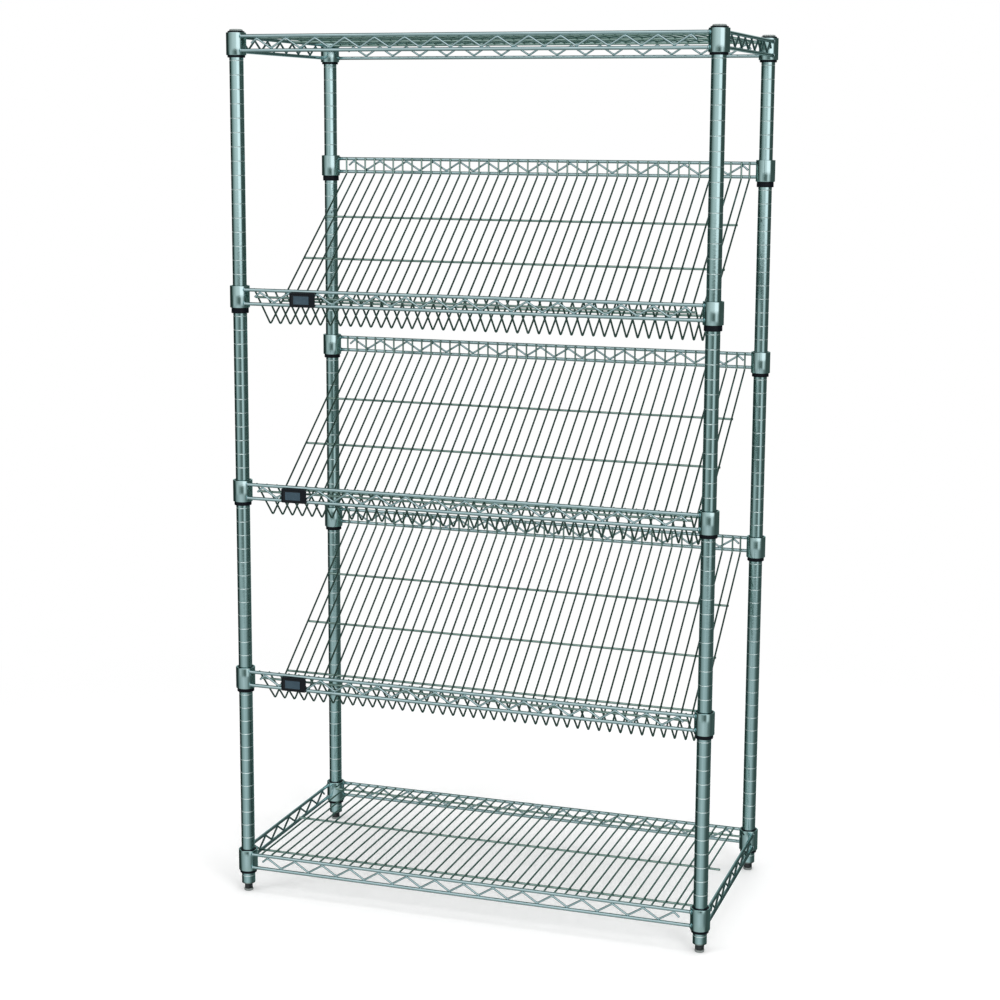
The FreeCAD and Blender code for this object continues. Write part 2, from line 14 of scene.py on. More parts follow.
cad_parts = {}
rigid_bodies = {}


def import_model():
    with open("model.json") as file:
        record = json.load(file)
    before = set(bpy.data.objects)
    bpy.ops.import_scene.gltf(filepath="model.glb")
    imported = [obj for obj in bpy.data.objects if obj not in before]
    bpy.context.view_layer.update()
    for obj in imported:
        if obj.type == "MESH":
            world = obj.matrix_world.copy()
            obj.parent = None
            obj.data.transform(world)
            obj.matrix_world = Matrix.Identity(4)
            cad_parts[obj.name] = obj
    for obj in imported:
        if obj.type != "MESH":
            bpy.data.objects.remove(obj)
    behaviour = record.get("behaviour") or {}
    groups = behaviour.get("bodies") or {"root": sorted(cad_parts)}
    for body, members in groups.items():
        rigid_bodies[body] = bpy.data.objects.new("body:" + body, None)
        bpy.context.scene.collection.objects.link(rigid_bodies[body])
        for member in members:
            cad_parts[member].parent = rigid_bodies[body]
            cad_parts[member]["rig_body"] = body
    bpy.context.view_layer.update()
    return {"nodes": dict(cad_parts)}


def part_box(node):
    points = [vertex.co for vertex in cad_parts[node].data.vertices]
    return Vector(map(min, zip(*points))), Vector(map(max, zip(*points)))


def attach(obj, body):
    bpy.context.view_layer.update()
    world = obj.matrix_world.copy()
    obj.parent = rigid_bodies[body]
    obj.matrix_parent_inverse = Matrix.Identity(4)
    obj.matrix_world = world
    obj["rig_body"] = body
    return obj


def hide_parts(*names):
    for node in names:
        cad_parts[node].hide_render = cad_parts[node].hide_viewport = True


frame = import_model()

# ============================================================================================ posts
# Four steel tubes, open at both ends, with a shallow groove rolled in every inch for the sleeves.
# They are nickel and chrome plated, so they mirror the room; each groove is a fine matt ring,
# painted pale against its shade.
MM = 0.001
POST_RADIUS = 12.7 * MM
POST_WALL = 1.2 * MM
TUBE_SIDES = 64
GROOVE_PITCH = 25.4 * MM
GROOVE_HALF_WIDTH = 0.9 * MM
GROOVE_DEPTH = 0.5 * MM
# share of the half width across the groove, share of its depth
GROOVE_PROFILE = ((-1, 0), (-0.5, 0.7), (0, 1), (0.5, 0.7), (1, 0))
# painted paleness for the grooves, which offsets the shade they take
GROOVE_PAINTED_PALE = (0.74, 0.88, 0.88)
GROOVE_ROUGHNESS = 0.4
RIB_ABOVE_FOOT = 20 * MM
ROUNDED_EDGE = 0.3 * MM
CORNERS = ("front_left", "front_right", "back_left", "back_right")
SHARP_EDGE = math.radians(35)
CLOUD_SCALE = 14.0
PEEL_SCALE = 260.0
PEEL_DEPTH = 0.2 * MM
SPECK_SCALE = 900.0
SPECK_LEVEL = 0.72
PLATED_ROUGHNESS = 0.03
EDGE_TINT = (0.45, 0.60, 0.58, 1)


def turned(outline, sides, arc=None):
    """A shell turned about Z from (radius, height) points: whole, or over an arc centred on +X.

    An outline that starts and ends on the axis closes there, and any other outline is a loop.
    """
    capped = outline[0][0] == 0
    ring = outline[1:-1] if capped else outline
    count = len(ring)
    if arc:
        turns = np.linspace(-arc / 2, arc / 2, sides + 1)
    else:
        turns = np.linspace(0, 2 * math.pi, sides, endpoint=False)
    points = [(r * math.cos(turn), r * math.sin(turn), z) for turn in turns for r, z in ring]
    faces = []
    for side in range(sides):
        here, there = side * count, (side + 1) % len(turns) * count
        for low in range(count - 1 if capped else count):
            high = (low + 1) % count
            faces.append((here + low, there + low, there + high, here + high))
    if capped:
        foot, top = len(points), len(points) + 1
        points += [(0, 0, outline[0][1]), (0, 0, outline[-1][1])]
        for side in range(sides):
            here, there = side * count, (side + 1) % sides * count
            faces.append((foot, there, here))
            faces.append((top, here + count - 1, there + count - 1))
    if arc:
        faces.append(tuple(range(count)))
        faces.append(tuple(reversed(range(sides * count, (sides + 1) * count))))
    return np.array(points), faces


def moved(shell, place, turn=0.0):
    """A shell turned about Z and then moved to a place."""
    points, faces = shell
    c, s = math.cos(turn), math.sin(turn)
    return points @ np.array([[c, s, 0], [-s, c, 0], [0, 0, 1]]) + np.array(place), faces


def piece(name, shells, node, material):
    """One visible piece of closed shells, which stands for a node and rides on that node's body."""
    points, faces, start = [], [], 0
    for shell_points, shell_faces in shells:
        points.append(shell_points)
        faces += [tuple(corner + start for corner in face) for face in shell_faces]
        start += len(shell_points)
    mesh = bpy.data.meshes.new(name)
    mesh.from_pydata(np.concatenate(points).tolist(), [], faces)
    work = bmesh.new()
    work.from_mesh(mesh)
    bmesh.ops.recalc_face_normals(work, faces=work.faces)
    work.to_mesh(mesh)
    work.free()
    mesh.shade_smooth()
    mesh.set_sharp_from_angle(angle=SHARP_EDGE)
    mesh.materials.append(material)
    made = bpy.data.objects.new(name, mesh)
    bpy.context.scene.collection.objects.link(made)
    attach(made, frame["nodes"][node]["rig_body"])
    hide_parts(node)
    return made


class Signal:
    """An output of a shader node that does sums: an expression on signals adds the Math nodes."""

    def __init__(self, shader, socket):
        self.shader = shader
        self.socket = socket

    def maths(self, operation, first, second):
        return self.shader.node("Math", {"operation": operation},
                                {"Value": first, "Value_001": second})

    def __add__(self, other):
        return self.maths("ADD", self, other)

    def __sub__(self, other):
        return self.maths("SUBTRACT", self, other)

    def __rsub__(self, other):
        return self.maths("SUBTRACT", other, self)

    def __mul__(self, other):
        return self.maths("MULTIPLY", self, other)

    def __gt__(self, other):
        return self.maths("GREATER_THAN", self, other)

    __radd__ = __add__
    __rmul__ = __mul__


class Shader:
    """The node tree of a material or of the world."""

    def __init__(self, owner):
        owner.use_nodes = True
        self.tree = owner.node_tree
        self.tree.nodes.clear()

    def node(self, kind, settings=None, sockets=None, out=0):
        """Adds a node with its settings and its sockets' values or links, and gives an output."""
        made = self.tree.nodes.new("ShaderNode" + kind)
        for name, value in (settings or {}).items():
            if name == "stops":
                stops = made.color_ramp.elements
                while len(stops) < len(value):
                    stops.new(1.0)
                for stop, (place, colour) in zip(stops, value):
                    stop.position, stop.color = place, colour
            else:
                setattr(made, name, value)
        for name, value in (sockets or {}).items():
            socket = next(s for s in made.inputs if name in (s.identifier, s.name))
            if isinstance(value, Signal):
                self.tree.links.new(value.socket, socket)
            else:
                socket.default_value = value
        return Signal(self, made.outputs[out]) if made.outputs else None

    def between(self, share, first, second):
        """A colour between two others."""
        return self.node("Mix", {"data_type": "RGBA"},
                         {"Factor_Float": share, "A_Color": first, "B_Color": second}, out=2)

    def stretched(self, place, scale):
        """Coordinates scaled along each axis: a texture is drawn out where the scale is small."""
        return self.node("VectorMath", {"operation": "MULTIPLY"},
                         {"Vector": place, "Vector_001": scale})

    def noise(self, place, scale, detail=2.0, roughness=0.5):
        return self.node("TexNoise", {}, {"Vector": place, "Scale": scale, "Detail": detail,
                                          "Roughness": roughness})


def material(name):
    made = bpy.data.materials.new(name)
    return made, Shader(made)


def chrome(name, shade, bright, drawn, worn_and_painted_pale=None):
    """Bright plating: faint cloudiness, drawing lines along the metal and a soft orange peel."""
    made, shader = material(name)
    place = shader.node("TexCoord", out=3)
    clouds = shader.noise(place, CLOUD_SCALE, 4.0, 0.6)
    lines = shader.noise(shader.stretched(place, drawn), 1.0, 3.0, 0.6)
    peel = shader.noise(place, PEEL_SCALE, 1.0)
    specks = shader.noise(place, SPECK_SCALE, 1.0) > SPECK_LEVEL
    tone = clouds * 0.7 + lines * 0.5 - 0.1
    colour = shader.between(tone, (*shade, 1), (*bright, 1))
    rough = clouds * 0.06 + lines * 0.06 + specks * 0.10 + PLATED_ROUGHNESS
    if worn_and_painted_pale:
        mask = worn_and_painted_pale(shader, place)
        # the masked grooves get painted paleness that offsets their shade, and are made matt
        colour = shader.between(mask, colour, (*GROOVE_PAINTED_PALE, 1))
        rough = rough + mask * GROOVE_ROUGHNESS
    bump = shader.node("Bump", {}, {"Strength": 0.25, "Distance": PEEL_DEPTH,
                                    "Height": peel * 0.6 + lines * 0.4})
    surface = shader.node("BsdfPrincipled", {}, {
        "Base Color": colour, "Metallic": 1.0, "Roughness": rough, "Normal": bump,
        "Specular Tint": EDGE_TINT})
    shader.node("OutputMaterial", {}, {"Surface": surface})
    return made


def in_grooves(shader, place):
    """A mask that is 1 in the posts' grooves, which the rolls left matt, and where a paler colour
    is painted to offset their shade.
    """
    height = shader.node("SeparateXYZ", {}, {"Vector": place}, out=2)
    step = shader.node("Math", {"operation": "PINGPONG"},
                       {"Value": height - first_groove, "Value_001": GROOVE_PITCH / 2})
    return 1 - (step > GROOVE_HALF_WIDTH)


first_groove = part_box("bottom_shelf_sleeves")[0].z + RIB_ABOVE_FOOT
post_chrome = chrome("post_chrome", (0.35, 0.52, 0.52), (0.52, 0.73, 0.74), (500.0, 500.0, 2.5),
                     in_grooves)

for corner in CORNERS:
    low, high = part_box("post_" + corner)
    outline = [(POST_RADIUS - POST_WALL, low.z), (POST_RADIUS - ROUNDED_EDGE, low.z),
               (POST_RADIUS, low.z + ROUNDED_EDGE)]
    steps = range(math.ceil((low.z - first_groove) / GROOVE_PITCH),
                  math.ceil((high.z - GROOVE_PITCH / 4 - first_groove) / GROOVE_PITCH))
    for step in steps:
        middle = first_groove + step * GROOVE_PITCH
        outline += [(POST_RADIUS - GROOVE_DEPTH * depth, middle + GROOVE_HALF_WIDTH * across)
                    for across, depth in GROOVE_PROFILE]
    outline += [(POST_RADIUS, high.z - ROUNDED_EDGE), (POST_RADIUS - ROUNDED_EDGE, high.z),
                (POST_RADIUS - POST_WALL, high.z)]
    middle_x, middle_y = (low.x + high.x) / 2, (low.y + high.y) / 2
    tube = moved(turned(outline, TUBE_SIDES), (middle_x, middle_y, 0))
    piece("grooved_tube_" + corner, [tube], "post_" + corner, post_chrome)

# ======================================================================================== post caps
# Moulded plugs that close the upper ends of the tubes: a spigot inside, and a low dome on top that
# covers the tube's edge.  Grey plastic, dulled by handling.
CAP_SPIGOT = 12 * MM
CAP_FLANGE_RADIUS = 12.1 * MM
CAP_FLANGE = 1.2 * MM
CAP_CROWN_RADIUS = 8.6 * MM
CROWN_STEPS = 6
SPIGOT_CHAMFER = 0.6 * MM
PLUG_SIDES = 48
FIT_GAP = 0.1 * MM
UNEVEN_SCALE = 60.0
SCUFF_STRETCH = (140.0, 140.0, 40.0)
SCUFF_ROUGHNESS = 0.18
GRAIN_DEPTH = 0.1 * MM
PRINTED_BLACK = (0.004, 0.006, 0.009)


def plastic(name, shade, bright, roughness, grain, gloss=0.5, margin=None):
    """Moulded plastic: a fine spark-eroded grain, scuffs and slightly uneven colour.

    A margin gives the mask of what is printed black.
    """
    made, shader = material(name)
    place = shader.node("TexCoord", out=3)
    uneven = shader.noise(place, UNEVEN_SCALE, 3.0, 0.6)
    scuffs = shader.noise(shader.stretched(place, SCUFF_STRETCH), 1.0, 4.0, 0.7)
    pores = shader.noise(place, grain, 2.0)
    colour = shader.between(uneven * 0.6 + scuffs * 0.4, (*shade, 1), (*bright, 1))
    if margin:
        colour = shader.between(margin(shader), colour, (*PRINTED_BLACK, 1))
    bump = shader.node("Bump", {}, {"Strength": 0.35, "Distance": GRAIN_DEPTH, "Height": pores})
    surface = shader.node("BsdfPrincipled", {}, {
        "Base Color": colour, "Metallic": 0.0, "Roughness": scuffs * SCUFF_ROUGHNESS + roughness,
        "Normal": bump, "Specular IOR Level": gloss})
    shader.node("OutputMaterial", {}, {"Surface": surface})
    return made


grey_plastic = plastic("grey_plastic", (0.16, 0.18, 0.175), (0.26, 0.29, 0.28), 0.38, 1800.0)

for corner in CORNERS:
    low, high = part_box("post_cap_" + corner)
    spigot_radius = POST_RADIUS - POST_WALL - FIT_GAP
    seat = low.z + CAP_SPIGOT
    crown = high.z - low.z - CAP_SPIGOT - CAP_FLANGE
    dome = [(CAP_CROWN_RADIUS + (CAP_FLANGE_RADIUS - CAP_CROWN_RADIUS) * math.cos(turn),
             seat + CAP_FLANGE + crown * math.sin(turn))
            for turn in np.linspace(0, math.pi / 2, CROWN_STEPS)]
    outline = [(0, low.z), (spigot_radius - SPIGOT_CHAMFER, low.z),
               (spigot_radius, low.z + SPIGOT_CHAMFER), (spigot_radius, seat),
               (CAP_FLANGE_RADIUS, seat), *dome, (0, high.z)]
    plug = moved(turned(outline, PLUG_SIDES), ((low.x + high.x) / 2, (low.y + high.y) / 2, 0))
    piece("end_plug_" + corner, [plug], "post_cap_" + corner, grey_plastic)

# ===================================================================================== foot inserts
# Flanged steel bushes, driven into the lower ends of the tubes and threaded for the levellers.
# Zinc plated, so greyer and duller than the chrome; only the flange shows.
INSERT_FLANGE = 2 * MM
THREAD_RADIUS = 4.7 * MM
THREAD_GAP = 0.08 * MM
BORE_CHAMFER = 0.5 * MM
SHANK_CHAMFER = 0.8 * MM
zinc = chrome("zinc", (0.24, 0.30, 0.28), (0.38, 0.44, 0.42), (60.0, 60.0, 60.0))

for corner in CORNERS:
    low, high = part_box("foot_insert_" + corner)
    bore = THREAD_RADIUS + THREAD_GAP
    shank = POST_RADIUS - POST_WALL - FIT_GAP
    flange = low.z + INSERT_FLANGE
    outline = [(bore + BORE_CHAMFER, low.z), (POST_RADIUS - ROUNDED_EDGE, low.z),
               (POST_RADIUS, low.z + ROUNDED_EDGE), (POST_RADIUS, flange - ROUNDED_EDGE),
               (POST_RADIUS - ROUNDED_EDGE, flange), (shank, flange),
               (shank, high.z - SHANK_CHAMFER), (shank - SHANK_CHAMFER, high.z), (bore, high.z),
               (bore, low.z + BORE_CHAMFER)]
    bush = moved(turned(outline, PLUG_SIDES), ((low.x + high.x) / 2, (low.y + high.y) / 2, 0))
    piece("threaded_bush_" + corner, [bush], "foot_insert_" + corner, zinc)

# ======================================================================================== levellers
# A blackened steel screw with a hexagon for the spanner turns in each bush.  The pin below it
# swivels in a round moulded pad, which stays flat on the floor.
HEXAGON_RADIUS = 8.2 * MM
HEXAGON_HEIGHT = 11.5 * MM
HEXAGON_CHAMFER = 0.8 * MM
PAD_HEIGHT = 4 * MM
PAD_SIDES = 40
PAD_HOLLOW = 0.3 * MM
PAD_RING = 1.8 * MM
PAD_RING_SLOPE = 0.4 * MM
PAD_FOOT_CHAMFER = 0.6 * MM
PAD_TOP_CHAMFER = 0.5 * MM
PAD_COLLAR = 1.2 * MM
SWIVEL_RADIUS = 4 * MM
SWIVEL_GAP = 0.06 * MM
PIN_CHAMFER = 0.5 * MM
PIN_SIDES = 24
PAD_FLOOR = 1.4 * MM
THREAD_PITCH = 1.5875 * MM
THREAD_DEPTH = 0.9 * MM
THREAD_SIDES = 24
THREAD_ROWS = 6
THREAD_RUN_OUT = 1.5 * MM
THREAD_TIP_DROP = 0.6 * MM


def threaded(foot, top):
    """A rod with a screw thread: its radius follows the height plus the share of a turn."""
    rows = int((top - foot) / THREAD_PITCH * THREAD_ROWS)
    heights = np.linspace(foot, top, rows + 1)
    turns = np.linspace(0, 2 * math.pi, THREAD_SIDES, endpoint=False)
    points = []
    for height in heights:
        for turn in turns:
            share = ((height - foot) / THREAD_PITCH - turn / (2 * math.pi)) % 1
            depth = THREAD_DEPTH * abs(2 * share - 1)
            end = min(1.0, (top - height) / THREAD_RUN_OUT)
            r = THREAD_RADIUS - depth - (1 - end) * THREAD_TIP_DROP * (1 - depth / THREAD_DEPTH)
            points.append((r * math.cos(turn), r * math.sin(turn), height))
    faces = [tuple(reversed(range(THREAD_SIDES))),
             tuple(rows * THREAD_SIDES + side for side in range(THREAD_SIDES))]
    for row in range(rows):
        for side in range(THREAD_SIDES):
            here, there = row * THREAD_SIDES + side, row * THREAD_SIDES + (side + 1) % THREAD_SIDES
            faces.append((here, there, there + THREAD_SIDES, here + THREAD_SIDES))
    return np.array(points), faces


def hexagon(foot, top):
    """A hexagon with its upper and lower corners turned off, as on a bolt head."""
    rings = ((foot, 1 - HEXAGON_CHAMFER / HEXAGON_RADIUS), (foot + HEXAGON_CHAMFER, 1),
             (top - HEXAGON_CHAMFER, 1), (top, 1 - HEXAGON_CHAMFER / HEXAGON_RADIUS))
    points = [(HEXAGON_RADIUS * scale * math.cos(math.radians(60 * side)),
               HEXAGON_RADIUS * scale * math.sin(math.radians(60 * side)), height)
              for height, scale in rings for side in range(6)]
    faces = [tuple(reversed(range(6))), tuple(range(18, 24))]
    faces += [(row + side, row + (side + 1) % 6, row + 6 + (side + 1) % 6, row + 6 + side)
              for row in (0, 6, 12) for side in range(6)]
    return np.array(points), faces


black_steel = plastic("blackened_steel", (0.008, 0.010, 0.011), (0.022, 0.028, 0.030), 0.30, 900.0)
pad_plastic = plastic("pad_plastic", (0.20, 0.225, 0.22), (0.32, 0.35, 0.34), 0.45, 1500.0)

for corner in CORNERS:
    low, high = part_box("leveller_pad_" + corner)
    place = ((low.x + high.x) / 2, (low.y + high.y) / 2, 0)
    radius = (high.x - low.x) / 2
    socket = SWIVEL_RADIUS + SWIVEL_GAP
    outline = [(0, low.z + PAD_HOLLOW), (radius - PAD_RING - PAD_RING_SLOPE, low.z + PAD_HOLLOW),
               (radius - PAD_RING, low.z), (radius - PAD_FOOT_CHAMFER, low.z),
               (radius, low.z + PAD_FOOT_CHAMFER), (radius, high.z - PAD_TOP_CHAMFER),
               (radius - PAD_TOP_CHAMFER, high.z), (socket + PAD_COLLAR, high.z),
               (socket, high.z - ROUNDED_EDGE), (socket, low.z + PAD_FLOOR), (0, low.z + PAD_FLOOR)]
    piece("floor_pad_" + corner, [moved(turned(outline, PAD_SIDES), place)],
          "leveller_pad_" + corner, pad_plastic)

    low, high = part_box("leveller_screw_" + corner)
    hexagon_top = PAD_HEIGHT + HEXAGON_HEIGHT
    pin = turned([(0, low.z), (SWIVEL_RADIUS - PIN_CHAMFER, low.z),
                  (SWIVEL_RADIUS, low.z + PIN_CHAMFER), (SWIVEL_RADIUS, PAD_HEIGHT + MM),
                  (0, PAD_HEIGHT + MM)], PIN_SIDES)
    shells = [moved(shell, place) for shell in
              (pin, hexagon(PAD_HEIGHT, hexagon_top), threaded(hexagon_top - MM, high.z))]
    piece("spanner_screw_" + corner, shells, "leveller_screw_" + corner, black_steel)

# ==================================================================================== split sleeves
# Two halves snap round the post, and the rib inside them sits in a groove.  They are tapered
# outside, so a collar that is pushed down wedges them tight.  Black plastic with a slight gloss.
SLEEVE_FOOT_RADIUS = 15.8 * MM
SLEEVE_LIP = 3 * MM
TAPER = 0.016
SLEEVE_ARC = math.radians(174)
SLEEVE_SIDES = 30
SLEEVE_CHAMFER = 0.5 * MM
# inset and height of the points of a sleeve's rounded lower edge
SLEEVE_FOOT_EDGE = ((0.6 * MM, 0), (0.15 * MM, 0.2 * MM), (0, 0.7 * MM))
RIB_HALF_WIDTH = 0.7 * MM
LEVELS = ("top", "upper", "middle", "lower", "bottom")
SLEEVE_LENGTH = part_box("top_shelf_sleeves")[1].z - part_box("top_shelf_sleeves")[0].z
BLACK = ((0.002, 0.003, 0.005), (0.006, 0.008, 0.012))
black_plastic = plastic("black_plastic", *BLACK, 0.30, 1600.0, 0.12)

bore = POST_RADIUS + FIT_GAP
rib = POST_RADIUS - GROOVE_DEPTH + FIT_GAP
sleeve_top_radius = SLEEVE_FOOT_RADIUS - TAPER * (SLEEVE_LENGTH - SLEEVE_LIP)
half_sleeve = turned([
    (bore, 0), *((SLEEVE_FOOT_RADIUS - inset, height) for inset, height in SLEEVE_FOOT_EDGE),
    (SLEEVE_FOOT_RADIUS, SLEEVE_LIP), (sleeve_top_radius, SLEEVE_LENGTH - SLEEVE_CHAMFER),
    (sleeve_top_radius - SLEEVE_CHAMFER, SLEEVE_LENGTH), (bore, SLEEVE_LENGTH),
    (bore, RIB_ABOVE_FOOT + RIB_HALF_WIDTH), (rib, RIB_ABOVE_FOOT + RIB_HALF_WIDTH),
    (rib, RIB_ABOVE_FOOT - RIB_HALF_WIDTH), (bore, RIB_ABOVE_FOOT - RIB_HALF_WIDTH)],
    SLEEVE_SIDES, SLEEVE_ARC)


def corner_places(node, length):
    """Post axis and lower end of a shelf's four sleeves or collars: front and back can differ."""
    low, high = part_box(node)
    for corner in CORNERS:
        post_low, post_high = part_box("post_" + corner)
        foot = low.z if corner.startswith("front") else high.z - length
        yield ((post_low.x + post_high.x) / 2, (post_low.y + post_high.y) / 2, foot)


for level in LEVELS:
    node = level + "_shelf_sleeves"
    shells = [moved(half_sleeve, place, turn) for place in corner_places(node, SLEEVE_LENGTH)
              for turn in (math.pi / 2, -math.pi / 2)]
    piece(level + "_split_sleeves", shells, node, black_plastic)

# ========================================================================================== collars
# Short steel rings with a tapered bore at the corners of each shelf.  They are turned from thick
# tube with rounded edges, and plated with the shelf they are welded to.
COLLAR_RADIUS = 18 * MM
COLLAR_LENGTH = 40 * MM
COLLAR_GAP = 0.15 * MM
COLLAR_EDGE = 0.8 * MM
COLLAR_EDGE_STEPS = 5
collar_chrome = chrome("collar_chrome", (0.39, 0.56, 0.56), (0.57, 0.76, 0.77),
                       (420.0, 420.0, 12.0))

for level in LEVELS:
    node = level + "_shelf_collars"
    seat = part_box(node)[0].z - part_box(level + "_shelf_sleeves")[0].z
    bore = SLEEVE_FOOT_RADIUS - TAPER * (seat - SLEEVE_LIP) + COLLAR_GAP
    rounding = np.linspace(0, math.pi / 2, COLLAR_EDGE_STEPS)
    foot_edge = [(COLLAR_RADIUS - COLLAR_EDGE * (1 - math.sin(turn)),
                  COLLAR_EDGE * (1 - math.cos(turn))) for turn in rounding]
    top_edge = [(COLLAR_RADIUS - COLLAR_EDGE * (1 - math.cos(turn)),
                 COLLAR_LENGTH - COLLAR_EDGE * (1 - math.sin(turn))) for turn in rounding]
    top_bore = bore - TAPER * COLLAR_LENGTH
    ring = turned([(bore + ROUNDED_EDGE, 0), *foot_edge, *top_edge,
                   (top_bore + ROUNDED_EDGE, COLLAR_LENGTH),
                   (top_bore, COLLAR_LENGTH - ROUNDED_EDGE), (bore, ROUNDED_EDGE)], TUBE_SIDES)
    shells = [moved(ring, place) for place in corner_places(node, COLLAR_LENGTH)]
    piece(level + "_corner_collars", shells, node, collar_chrome)

# ============================================================================================ rails
# Two round bars make the edge of each truss, one above the other.  They are welded to the outside
# of the collars at both ends, and each weld leaves a small bright bead.
RAIL_RADIUS = 3.175 * MM
RAIL_SIDES = 24
RAIL_SPACING = 25.4 * MM
RAIL_END = 13.6 * MM
RAIL_BEAD = (4.2 * MM, 2.2 * MM)
RAIL_BEAD_INSET = 1.6 * MM
BEAD_SIDES = 12
BEAD_STEPS = 7
BROKEN_EDGE = 0.2
FLAT = ("top", "bottom")
SLANTED = ("upper", "middle", "lower")
wire_chrome = chrome("wire_chrome", (0.33, 0.46, 0.47), (0.52, 0.68, 0.71), (90.0, 90.0, 90.0))


def wire(path, radius, across, sides):
    """A round wire with slightly broken ends, along a path in the plane square to a vector."""
    path = np.array(path, float)
    runs = np.diff(path, axis=0)
    runs /= np.linalg.norm(runs, axis=1)[:, None]
    ahead = np.vstack([runs[:1], runs]) + np.vstack([runs, runs[-1:]])
    ahead /= np.linalg.norm(ahead, axis=1)[:, None]
    edge = BROKEN_EDGE * radius
    centres = np.vstack([path[:1], path[:1] + runs[0] * edge, path[1:-1],
                         path[-1:] - runs[-1] * edge, path[-1:]])
    ahead = np.vstack([ahead[:1], ahead, ahead[-1:]])
    radii = np.full(len(centres), radius)
    radii[[0, -1]] -= edge
    beside = np.cross(ahead, across)
    turns = np.linspace(0, 2 * math.pi, sides, endpoint=False)
    cosines, sines = np.cos(turns)[None, :, None], np.sin(turns)[None, :, None]
    points = centres[:, None, :] + radii[:, None, None] * (
        cosines * beside[:, None, :] + sines * np.array(across)[None, None, :])
    rings = len(centres)
    faces = [tuple(range(sides)), tuple(range((rings - 1) * sides, rings * sides))]
    for ring in range(rings - 1):
        for side in range(sides):
            here, there = ring * sides + side, ring * sides + (side + 1) % sides
            faces.append((here, there, there + sides, here + sides))
    return points.reshape(-1, 3), faces


def bead(place, size, normal=(0, 0, 1)):
    """A weld bead: a lens of a radius and half thickness, flat across a normal in the YZ plane."""
    radius, half = size
    outline = [(radius * math.sin(turn), -half * math.cos(turn))
               for turn in np.linspace(0, math.pi, BEAD_STEPS)]
    outline[0], outline[-1] = (0, -half), (0, half)
    points, faces = turned(outline, BEAD_SIDES)
    normal = np.array(normal) / np.linalg.norm(normal)
    beside = np.cross(normal, (1, 0, 0))
    return points @ np.array([(1, 0, 0), beside, normal]) + np.array(place), faces


def rail_lines(level):
    """Start and end of every rail of a shelf: each lower rail comes before the one above it."""
    low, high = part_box(level + "_shelf_rails")
    post_low, post_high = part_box("post_front_left")
    post_x = -(post_low.x + post_high.x) / 2
    post_y = -(post_low.y + post_high.y) / 2
    for y, foot in ((low.y + RAIL_RADIUS, low.z + RAIL_RADIUS),
                    (high.y - RAIL_RADIUS, high.z - RAIL_RADIUS - RAIL_SPACING)):
        for z in (foot, foot + RAIL_SPACING):
            yield (-post_x + RAIL_END, y, z), (post_x - RAIL_END, y, z)
    if level in FLAT:
        for x in (low.x + RAIL_RADIUS, high.x - RAIL_RADIUS):
            for z in (low.z + RAIL_RADIUS, low.z + RAIL_RADIUS + RAIL_SPACING):
                yield (x, -post_y + RAIL_END, z), (x, post_y - RAIL_END, z)


for level in FLAT + SLANTED:
    shells = []
    for start, end in rail_lines(level):
        shells.append(wire([start, end], RAIL_RADIUS, (0, 0, 1), RAIL_SIDES))
        along = Vector(end) - Vector(start)
        along.normalize()
        inset = along * RAIL_BEAD_INSET
        for place in (Vector(start) + inset, Vector(end) - inset):
            points, faces = bead((0, 0, 0), RAIL_BEAD)
            turn = along.to_track_quat("Z", "Y").to_matrix()
            shells.append((points @ np.array(turn).T + np.array(place), faces))
    piece(level + "_truss_rails", shells, level + "_shelf_rails", wire_chrome)

# ====================================================================================== snake wires
# One wire is bent to and fro between the two rails of a truss and welded to them at every bend,
# which makes a light girder of them.  Its free ends stop short of the collars.
SNAKE_RADIUS = 1.9 * MM
SNAKE_WAVE = 55.5 * MM
SNAKE_MARGIN = 45 * MM
SNAKE_BEND = 6 * MM
STUB_RUN = 10 * MM
STUB_DROP = 9 * MM
WELD = 0.1 * MM
SNAKE_SIDES = 12
SNAKE_BEAD = (2.3 * MM, 1 * MM)


def bent(corners, bend, steps=6):
    """A path through corners, each rounded by an arc."""
    corners = [Vector(corner) for corner in corners]
    path = [corners[0]]
    for before, corner, after in zip(corners, corners[1:], corners[2:]):
        inward, outward = (before - corner).normalized(), (after - corner).normalized()
        half_turn = inward.angle(outward) / 2
        middle = corner + (inward + outward).normalized() * bend / math.sin(half_turn)
        first = corner + inward * bend / math.tan(half_turn)
        last = corner + outward * bend / math.tan(half_turn)
        arm, across = first - middle, last - middle
        turn = arm.angle(across)
        for share in np.linspace(0, 1, steps + 1):
            first_part, last_part = math.sin((1 - share) * turn), math.sin(share * turn)
            path.append(middle + (arm * first_part + across * last_part) / math.sin(turn))
    path.append(corners[-1])
    return path


